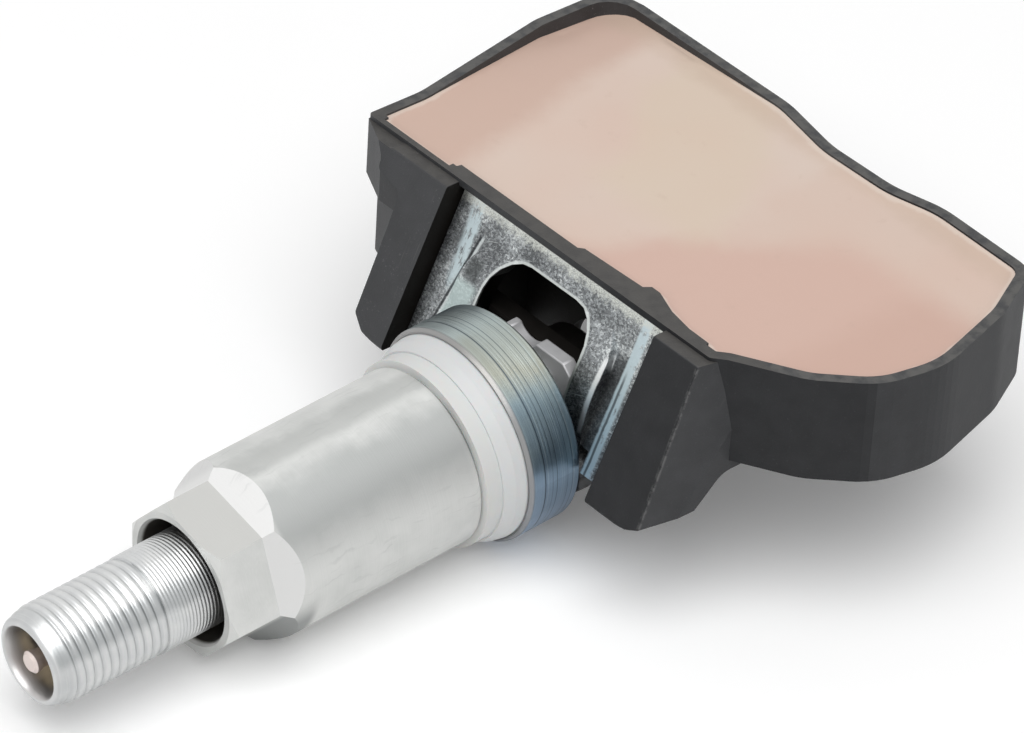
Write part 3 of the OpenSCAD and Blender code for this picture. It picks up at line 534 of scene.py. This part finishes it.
def collar_material():
    m = Mat("collar_steel", 1.0)
    y = m.sep(m.p)[1]
    around = m.lathe_lines(5.0)
    lines = m.noise(around, 1.3, 4.0, 0.7)
    # Passivation colours change slowly round the collar; their darker and paler sides round it are partly
    # painted reflection
    place = m.total(m.product(m.angle(), 1.0 / math.pi),
                    m.line(m.noise(m.p, 0.22, 3.0), 0.34, -0.17), m.line(lines, 0.10, -0.05))
    col = m.ramp(m.line(place, 0.5, 0.5),
                 [(0.30, (0.42, 0.50, 0.60)), (0.44, (0.32, 0.42, 0.55)), (0.52, (0.19, 0.27, 0.35)),
                  (0.60, (0.24, 0.31, 0.34)), (0.68, (0.34, 0.35, 0.30)), (0.76, (0.42, 0.48, 0.47)),
                  (0.88, (0.34, 0.39, 0.40))])
    # Turning lines
    col = m.paint(col, m.step(lines, 0.45, 0.30), 0.7, (0.10, 0.13, 0.16))
    col = m.paint(col, m.step(lines, 0.58, 0.72), 0.6, (0.55, 0.62, 0.64))
    deep = m.step(m.noise(around, 0.8, 2.0), 0.60, 0.70)
    col = m.paint(col, deep, 0.75, (0.05, 0.07, 0.09))
    # Painted dark reflection at the upper left, by the back edge
    back = m.product(m.step(place, 0.60, 0.74), m.step(y, 4.2, 4.7))
    col = m.paint(col, back, 0.75, (0.055, 0.075, 0.10))
    # Painted dark reflection on the front lip
    lip = m.step(y, 2.25, 2.0)
    col = m.paint(col, lip, 0.85, (0.30, 0.29, 0.285))
    m.bump(lines, 0.03)
    return m.done(col, m.blend(m.noise(m.p, 1.5, 2.0), 0.28, 0.42))


def white_material(name, tint):
    m = Mat(name)
    y = m.sep(m.p)[1]
    cloud = m.noise(m.p, 0.4, 3.0)
    col = m.mix(cloud, faded(tint, 0.97), tint)
    scuff = m.step(m.noise(m.scaled(m.p, 3.0, 0.8, 3.0), 1.6, 3.0, 0.7), 0.62, 0.75)
    col = m.paint(col, scuff, 0.10, (0.55, 0.54, 0.52))
    # Close to the nut it is greyer on its right: painted shade in the crease
    shaded = m.product(m.window(m.angle(), -1.6, -0.9, 0.35, 0.95), m.step(m.radius(), 8.9, 7.7),
                       m.step(y, -2.0, -2.6))
    col = m.paint(col, shaded, 0.65, (0.32, 0.335, 0.33))
    m.bump(m.noise(m.p, 3.0, 2.0), 0.01, 0.5)
    m.set("Subsurface Weight", 0.15)
    m.set("Subsurface Scale", 0.0006)
    return m.done(col, m.blend(cloud, 0.38, 0.52))


def nut_material():
    m = Mat("nut_aluminium", 0.8)
    y = m.sep(m.p)[1]
    nx, ny, nz = m.sep(m.normal)
    rings = m.noise(m.lathe_lines(9.0), 1.0, 3.0, 0.7)
    cloud = m.noise(m.p, 0.35, 3.0, 0.55)
    col = m.ramp(cloud, [(0.3, (0.59, 0.60, 0.585)), (0.7, (0.68, 0.685, 0.67))])
    col = m.paint(col, m.step(rings, 0.35, 0.7), 0.20, (0.76, 0.76, 0.75))
    # Run-outs behind the flats lean towards the open end and are freshly milled
    runout = m.product(m.window(m.product(ny, -1.0), 0.45, 0.60, 0.80, 0.92), m.step(y, -22.6, -22.0),
                       m.step(nz, -0.45, -0.20))
    elsewhere = m.rest_of(runout)
    col = m.mix(runout, col, (0.69, 0.69, 0.685))
    # Painted shade on the upward flats of the hexagon
    flat = m.product(m.step(nz, 0.60, 0.80), m.step(y, SLEEVE_FROM + 0.2, SLEEVE_FROM - 0.2), elsewhere)
    col = m.paint(col, flat, 0.9, (0.49, 0.49, 0.475))
    # Painted shade on faces turned down, by the start of the sleeve
    below = m.product(m.step(nz, -0.05, -0.40), m.window(y, -19.8, -19.4, -17.5, -16.5))
    col = m.paint(col, below, 0.8, (0.24, 0.25, 0.25))
    # Painted shade in strips along the sleeve, where the lamp's highlight falls, then fine lengthwise
    # streaks
    sleeve = m.step(y, SLEEVE_FROM - 0.4, SLEEVE_FROM + 0.4)
    turn = m.total(m.angle(), m.line(cloud, 0.3, -0.15))
    shade_strip = m.product(m.window(turn, 0.20, 0.75, 1.05, 1.50), sleeve, elsewhere)
    col = m.paint(col, shade_strip, 0.92, (0.36, 0.37, 0.365))
    shade_band = m.product(m.window(turn, 1.38, 1.52, 1.66, 1.90), sleeve, elsewhere)
    col = m.paint(col, shade_band, 0.6, (0.42, 0.43, 0.42))
    lengthwise = m.join(m.product(turn, 14.0), m.product(y, 0.25), 0.0)
    streak = m.product(m.step(m.noise(lengthwise, 1.0, 3.0, 0.6), 0.56, 0.70), sleeve)
    col = m.paint(col, streak, 0.22, (0.38, 0.39, 0.385))
    # Painted light on the hexagon's faces turned to the left
    left_light = m.product(m.step(nx, -0.30, -0.70), m.step(y, SLEEVE_FROM + 0.2, SLEEVE_FROM - 0.6))
    col = m.paint(col, left_light, 0.7, (0.86, 0.86, 0.85))
    nick = m.step(m.noise(m.p, 1.3, 4.0, 0.8), 0.68, 0.76)
    col = m.paint(col, nick, 0.18, grey(0.36))
    # Painted shade inside the bore
    bore_shade = m.step(m.radius(), 5.0, 4.85)
    col = m.mix(bore_shade, col, (0.10, 0.092, 0.082))
    m.bump(rings, 0.012, 0.8)
    m.bump(m.noise(m.scaled(m.p, 1.0, 6.0, 1.0), 2.2, 3.0, 0.7), 0.006, 0.5)
    return m.done(col, m.blend(cloud, 0.46, 0.58))


def stem_material():
    m = Mat("stem_aluminium", 1.0)
    y = m.sep(m.p)[1]
    r = m.radius()
    cloud = m.noise(m.p, 0.7, 3.0)
    col = m.ramp(cloud, [(0.3, (0.60, 0.61, 0.615)), (0.7, (0.68, 0.685, 0.68))])
    # Painted shade deeper in the thread's grooves
    fine = m.step(y, -CAP_FROM - 0.3, -CAP_FROM + 0.3)
    below = m.math("SUBTRACT", m.blend(fine, CAP_R - 0.02, STEM_R - 0.05), r)
    groove = m.product(m.step(below, 0.0, 0.16), m.blend(fine, 0.30, 0.62), m.step(r, 3.2, 3.35))
    col = m.mix(groove, col, (0.36, 0.375, 0.38))
    rings = m.noise(m.lathe_lines(9.0), 1.2, 3.0, 0.7)
    col = m.paint(col, m.step(rings, 0.55, 0.75), 0.25, (0.88, 0.88, 0.87))
    mouth = m.product(m.step(r, MOUTH_R + 0.02, MOUTH_R - 0.1), m.step(y, -31.0, -35.0))
    col = m.mix(mouth, col, (0.56, 0.55, 0.545))
    # Painted shade in a strip along the stem
    turn = m.total(m.angle(), m.line(cloud, 0.24, -0.12))
    shade_strip = m.product(m.window(turn, 0.28, 0.52, 0.78, 1.02), m.step(r, 3.45, 3.55))
    col = m.paint(col, shade_strip, 0.65, (0.30, 0.315, 0.32))
    m.bump(rings, 0.01, 0.7)
    return m.done(col, m.blend(cloud, 0.30, 0.42))


def plain_metal(name, tint, low=0.25, high=0.4, shiny=1.0):
    m = Mat(name, shiny)
    cloud = m.noise(m.p, 1.2, 3.0)
    col = m.mix(cloud, faded(tint, 0.88), tint)
    wear = m.step(m.noise(m.p, 2.5, 4.0, 0.7), 0.62, 0.75)
    col = m.paint(col, wear, 0.2, faded(tint, 0.55))
    around = m.join(m.product(m.radius(), 8.0), m.sep(m.p)[1], 0.0)
    m.bump(m.noise(around, 1.0, 2.0), 0.01, 0.6)
    return m.done(col, m.blend(cloud, low, high))


def plain_solid(name, tint):
    m = Mat(name)
    cloud = m.noise(m.p, 0.8, 3.0)
    col = m.mix(cloud, faded(tint, 0.8), tint)
    wear = m.step(m.noise(m.p, 2.2, 4.0, 0.7), 0.60, 0.75)
    col = m.paint(col, wear, 0.15, tuple(c * 1.8 + 0.02 for c in tint))
    m.bump(m.noise(m.p, 4.0, 2.0), 0.015, 0.6)
    return m.done(col, m.blend(cloud, 0.45, 0.65))


plastic = housing_material()
resin = potting_material()
zinc = zinc_material()
collar = collar_material()
seal_white = white_material("seal_white", (0.640, 0.650, 0.652))
washer_white = white_material("washer_white", (0.685, 0.692, 0.682))
nut_metal = nut_material()
stem_metal = stem_material()
foot_metal = plain_metal("foot_aluminium", (0.50, 0.50, 0.51), 0.45, 0.6, 0.5)
brass = plain_metal("core_brass", (0.55, 0.44, 0.26))
pale_tip = plain_metal("pin_tip", (0.80, 0.70, 0.66), 0.3, 0.45)
steel = plain_metal("spring_steel", (0.40, 0.40, 0.41))
dark_steel = plain_metal("dark_steel", (0.030, 0.027, 0.025), 0.45, 0.6)
rubber = plain_solid("soft_rubber", grey(0.02))
board_green = plain_solid("board_laminate", (0.02, 0.11, 0.05))
chip_black = plain_solid("chip_plastic", grey(0.025))


def give(obj, material):
    obj.data.materials.clear()
    obj.data.materials.append(material)


def soften(obj, width_mm):
    b = obj.modifiers.new("edges", "BEVEL")
    b.width = width_mm * MM
    b.segments = 2
    b.limit_method = "ANGLE"
    b.angle_limit = math.radians(32.0)
    b.use_clamp_overlap = True


LOOKS = {
    "valve_stem": stem_metal, "support_collar": collar, "seal_grommet": seal_white,
    "slip_washer": washer_white, "sleeve_nut": nut_metal,
    "core_barrel": brass, "core_gasket": washer_white, "core_pin": pale_tip, "core_cup": rubber,
    "core_spring": steel, "fixing_screw": dark_steel, "saddle_washer": dark_steel,
    "housing": plastic, "bracket": zinc, "potting": resin, "circuit_board": board_green,
    "battery": steel, "tab_upper": steel, "tab_lower": steel, "pressure_chip": chip_black,
    "port_seal": rubber, "radio_chip": chip_black, "crystal_can": steel, "wake_coil": chip_black,
    "antenna": brass, "capacitors": chip_black,
}
EDGES = {
    "housing": 0.18, "bracket": 0.22, "support_collar": 0.06, "sleeve_nut": 0.05,
    "seal_grommet": 0.25, "slip_washer": 0.40, "fixing_screw": 0.08, "saddle_washer": 0.1,
}
for name, material in LOOKS.items():
    give(nodes[name], material)
for name, width in EDGES.items():
    soften(nodes[name], width)


# Threaded stem

def thread_depth(t):
    if t < CAP_FROM:
        return FINE_DEPTH * clamp((t - FINE_FROM) / 0.7)
    return CAP_DEPTH * clamp((CAP_TO - t) / 0.9) * clamp((t - CAP_FROM) / 0.6 + 0.3)


def threaded(t):
    """Radius of the stem at one distance, as a function of the angle."""
    coarse = t >= CAP_FROM
    pitch = CAP_PITCH if coarse else FINE_PITCH
    sharpness = 2.2 if coarse else 1.2
    radius = CAP_R if coarse else STEM_R - 0.04
    if CAP_FROM <= t < CAP_FROM + 0.5:
        radius -= 0.05
    if t > TAPER_FROM:
        radius -= 0.30 * ((t - TAPER_FROM) / 1.3) ** 1.6
    depth = thread_depth(t)

    def r(a):
        groove = 0.5 - 0.5 * math.cos(2 * math.pi * (t / pitch) - a)
        return radius - depth * groove ** sharpness
    return r


def stem_rings():
    """Hub, shank, both threads, the rounded mouth, and then the stepped bores back to the hub."""
    rings = [(SCREW_BORE_R, 3.0), (SCREW_BORE_R, -9.40)]
    rings += [(HUB_R - 0.04, -8.30), (HUB_R, -8.25), (HUB_R, -6.62)]
    rings += [(STEM_R - 0.05, -6.60), (STEM_R, -6.55), (STEM_R, FINE_FROM - 0.2)]
    t = FINE_FROM
    while t < CAP_TO:
        rings.append((threaded(t), t))
        t += 0.07 if t >= CAP_FROM else 0.045
    for k in range(9):
        a = math.pi / 2 * k / 8
        rings.append((MOUTH_R + 0.54 * math.cos(a), CAP_TO + 0.68 * math.sin(a)))
    rings += [(2.93, 37.52), (2.86, 37.38), (2.78, 37.0), (2.70, 36.6)]
    rings += [(CORE_BORE_R, 36.0), (CORE_BORE_R, 30.1), (SEAT_BORE_R, 29.2), (SEAT_BORE_R, 22.6)]
    rings += [(AIR_BORE_R, 22.0), (AIR_BORE_R, 4.0), (0.80, 3.5)]
    return rings


stem = lathe("stem_threaded", stem_rings(), n=112, angle=60.0)
give(stem, stem_metal)
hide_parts("valve_stem")
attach(stem, "valve")


# Foot of the stem

def foot_outline():
    """The foot seen along the valve, with the round air notch in its top edge."""
    points = [(-5.3, 4.1), (-5.3, -2.4), (-3.3, -4.4), (3.3, -4.4), (5.3, -2.4), (5.3, 5.4), (4.5, FOOT_TOP)]
    dip = math.asin((NOTCH_Z - FOOT_TOP) / NOTCH_R)
    for k in range(13):
        a = -dip - (math.pi - 2 * dip) * k / 12
        points.append((NOTCH_R * math.cos(a), NOTCH_Z + NOTCH_R * math.sin(a)))
    return points + [(-2.05, FOOT_TOP), (-2.05, 4.9), (-4.5, 4.9)]


foot = prism("stem_foot", foot_outline(), FOOT_NEAR, FOOT_FAR)
give(foot, foot_metal)
soften(foot, 0.12)
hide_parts("valve_stem")
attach(foot, "valve")


# Potting face with its meniscus, from outlines of (across, back, corner radius)

def corner(a, b, c, n=6):
    """The arc that rounds corner b between its neighbours."""
    ax, ay = a[0] - b[0], a[1] - b[1]
    cx, cy = c[0] - b[0], c[1] - b[1]
    la, lc = math.hypot(ax, ay), math.hypot(cx, cy)
    ux, uy, vx, vy = ax / la, ay / la, cx / lc, cy / lc
    half_angle = math.acos(max(-1.0, min(1.0, ux * vx + uy * vy))) / 2
    r = b[2]
    sx, sy = ux + vx, uy + vy
    ls = math.hypot(sx, sy)
    ox = b[0] + sx / ls * r / math.sin(half_angle)
    oy = b[1] + sy / ls * r / math.sin(half_angle)
    fx = b[0] + ux * r / math.tan(half_angle) - ox
    fy = b[1] + uy * r / math.tan(half_angle) - oy
    turn = cx * ay - cy * ax
    sweep = (1 if turn > 0 else -1) * (math.pi - 2 * half_angle)
    start = math.atan2(fy, fx)
    angles = [start + sweep * k / n for k in range(n + 1)]
    return [(ox + r * math.cos(t), oy + r * math.sin(t)) for t in angles]


def rounded(p):
    out = []
    for i in range(len(p)):
        out += corner(p[i - 1], p[i], p[(i + 1) % len(p)])
    return out


def inset(p, d):
    """The outline moved inwards, with its corner radii fitted."""
    out = []
    for i in range(len(p)):
        a, b, c = p[i - 1], p[i], p[(i + 1) % len(p)]
        u = Vector((b[0] - a[0], b[1] - a[1])).normalized()
        v = Vector((c[0] - b[0], c[1] - b[1])).normalized()
        nu, nv = Vector((-u.y, u.x)), Vector((-v.y, v.x))
        s = (nu + nv) * d / (1 + nu.dot(nv))
        turn = u.x * v.y - u.y * v.x
        out.append((b[0] + s.x, b[1] + s.y, max(b[2] + (-d if turn > 0 else d), 0.12)))
    return out


def pot_outline():
    """The tray's inside, with the small steps of its front rim."""
    tray = [(-22.4, -7.6, 0.35), (16.4, -7.6, 0.5), (17.4, -6.7, 0.5), (22.7, -3.6, 6), (26.3, 0.3, 6),
            (27.3, 5.6, 8), (25.0, 13.6, 8), (22.2, 19.0, 2.2), (12.5, 19.2, 9), (8.2, 18.1, 9),
            (1.5, 18.0, 9), (-4.5, 19.2, 9), (-24.9, 19.2, 3.4), (-24.9, 11.0, 6), (-22.4, -2.5, 8)]
    inner = inset(tray, 0.9)
    front = inner[0][1]
    steps = [(-21.1, front, 0.1), (-21.1, -7.1, 0.2), (-13.62, -7.1, 0.2), (-13.0, -6.28, 0.2),
             (0.3, -6.28, 0.2), (0.7, -5.93, 0.2), (6.9, -5.68, 0.3), (7.3, -5.13, 0.2), (8.2, -5.13, 0.3),
             (10.5, -5.98, 0.6), (12.8, -6.38, 0.6), (15.0, -6.43, 0.1), (15.2, front, 0.1)]
    return [inner[0]] + steps + inner[1:]


def edge_distance(edge, x, y):
    best = 1e9
    for i in range(len(edge)):
        ax, ay = edge[i]
        bx, by = edge[(i + 1) % len(edge)]
        dx, dy = bx - ax, by - ay
        k = clamp(((x - ax) * dx + (y - ay) * dy) / (dx * dx + dy * dy + 1e-12))
        best = min(best, math.hypot(x - ax - k * dx, y - ay - k * dy))
    return best


def is_inside(edge, x, y):
    inside = False
    for i in range(len(edge)):
        ax, ay = edge[i]
        bx, by = edge[(i + 1) % len(edge)]
        if (ay > y) != (by > y) and x < (bx - ax) * (y - ay) / (by - ay) + ax:
            inside = not inside
    return inside


def pot_height(x, u, d):
    """Raised at the edge, a little wavy, and sunk in the far left corner."""
    far_left = clamp((-x - 17.0) / 7.0) * clamp((u - 1.0) / 12.0)
    rise = MENISCUS * math.exp(-d / 0.35)
    wave = 0.05 * math.sin(x * 0.31 + 0.6) * math.cos(u * 0.27) + 0.03 * math.sin(x * 0.9 + u * 0.7)
    return POT_FACE + rise * (1 - 0.6 * far_left) - 0.95 * far_left ** 1.3 + wave * min(1.0, d / 2.0)


def inner_points(edge):
    """Staggered rows of points that keep clear of the edge."""
    points = []
    y = -7.0
    while y < 19.0:
        x = -24.5 + (0.27 if int(y / POT_MESH) % 2 else 0.0)
        while x < 26.5:
            if is_inside(edge, x, y) and edge_distance(edge, x, y) > 0.28:
                points.append(Vector((x, y)))
            x += POT_MESH
        y += POT_MESH
    return points


def build_potting():
    edge = rounded(pot_outline())
    n = len(edge)
    points = [Vector(p) for p in edge] + inner_points(edge)
    loops = [(i, (i + 1) % n) for i in range(n)]
    flat, _, triangles = delaunay_2d_cdt(points, loops, [], 1, 1e-5)[:3]
    base = len(flat)

    def nearest(p):
        return min(range(base), key=lambda i: (flat[i].x - p[0]) ** 2 + (flat[i].y - p[1]) ** 2)

    rim = [nearest(p) for p in edge]
    verts = [local(v.x, v.y, pot_height(v.x, v.y, edge_distance(edge, v.x, v.y))) for v in flat]
    verts += [local(x, u, POT_FLOOR) for x, u in edge]
    faces = [tuple(f) for f in triangles]
    for i in range(n):
        j = (i + 1) % n
        if rim[i] != rim[j]:
            faces.append((rim[i], base + i, base + j, rim[j]))
    faces.append(tuple(base + i for i in reversed(range(n))))
    return make("potting_face", verts, faces, 50.0)


pot = build_potting()
give(pot, resin)
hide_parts("potting")
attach(pot, "sensor")


# Floor, world and lights

def floor_material():
    """Pale, and a little brighter to the camera alone."""
    m = Mat("floor_pale")
    col = m.ramp(m.noise(m.p, 0.04), [(0.0, grey(0.95)), (1.0, grey(0.97))])
    m.set("Specular IOR Level", 0.1)
    path = m.node("ShaderNodeLightPath")
    glow = m.node("ShaderNodeEmission")
    glow.inputs["Color"].default_value = (1, 1, 1, 1)
    m.link(m.product(path.outputs["Is Camera Ray"], FLOOR_GLOW), glow.inputs["Strength"])
    both = m.node("ShaderNodeAddShader")
    m.link(m.bsdf.outputs[0], both.inputs[0])
    m.link(glow.outputs[0], both.inputs[1])
    m.link(both.outputs[0], m.tree.nodes["Material Output"].inputs["Surface"])
    return m.done(col, 0.9)


def stage_floor():
    mesh = bpy.data.meshes.new("floor")
    corners = [(x * FLOOR_SIZE_M, y * FLOOR_SIZE_M, 0) for x, y in ((-1, -1), (1, -1), (1, 1), (-1, 1))]
    mesh.from_pydata(corners, [], [(0, 1, 2, 3)])
    mesh.materials.append(floor_material())
    floor = show("floor", mesh)
    floor.location = (0, COLLAR_FOOT_Y * MM, -(COLLAR_R + FLOOR_GAP) * MM)
    floor.rotation_euler = (-math.atan((COLLAR_R - SLEEVE_R) / (COLLAR_FOOT_Y - SLEEVE_FOOT_Y)), 0, 0)


def world_light():
    """A soft world that is white to the camera and in reflections."""
    world = bpy.data.worlds.new("studio")
    bpy.context.scene.world = world
    world.use_nodes = True
    tree = world.node_tree
    tree.nodes.clear()
    path = tree.nodes.new("ShaderNodeLightPath")
    seen = path.outputs["Is Camera Ray"]
    for ray in ("Is Glossy Ray", "Is Transmission Ray"):
        either = tree.nodes.new("ShaderNodeMath")
        either.operation = "MAXIMUM"
        tree.links.new(seen, either.inputs[0])
        tree.links.new(path.outputs[ray], either.inputs[1])
        seen = either.outputs[0]
    mix = tree.nodes.new("ShaderNodeMixShader")
    tree.links.new(seen, mix.inputs[0])
    for strength, socket in ((WORLD_LIGHT, mix.inputs[1]), (WORLD_SEEN, mix.inputs[2])):
        white = tree.nodes.new("ShaderNodeBackground")
        white.inputs["Color"].default_value = (1, 1, 1, 1)
        white.inputs["Strength"].default_value = strength
        tree.links.new(white.outputs[0], socket)
    out = tree.nodes.new("ShaderNodeOutputWorld")
    tree.links.new(mix.outputs[0], out.inputs["Surface"])


def area(name, place, size, power, aim=(0.0, 0.01, 0.0)):
    """A round lamp, with its place and size in metres."""
    data = bpy.data.lights.new(name, "AREA")
    data.shape = "DISK"
    data.size = size
    data.energy = power
    obj = show(name, data)
    obj.location = place
    direction = Vector(aim) - Vector(place)
    obj.rotation_euler = direction.to_track_quat("-Z", "Y").to_euler()


stage_floor()
world_light()
area("key", place=(0.195, -0.17, 0.68), size=0.9, power=4.7)

# Camera at the photograph's viewing angle
cam_data = bpy.data.cameras.new("camera")
cam_data.sensor_width = 36.0
cam_data.sensor_fit = "HORIZONTAL"
cam_data.lens = LENS
cam_data.clip_start = 0.01
cam_data.clip_end = 10.0
camera = show("camera", cam_data)
camera.matrix_world = Matrix((
    (*CAMERA_RIGHT, 0),
    (*CAMERA_UP, 0),
    (*CAMERA_BACK, 0),
    (*CAMERA_PLACE, 1),
)).transposed()
bpy.context.scene.camera = camera
bpy.context.scene.view_settings.view_transform = "Standard"
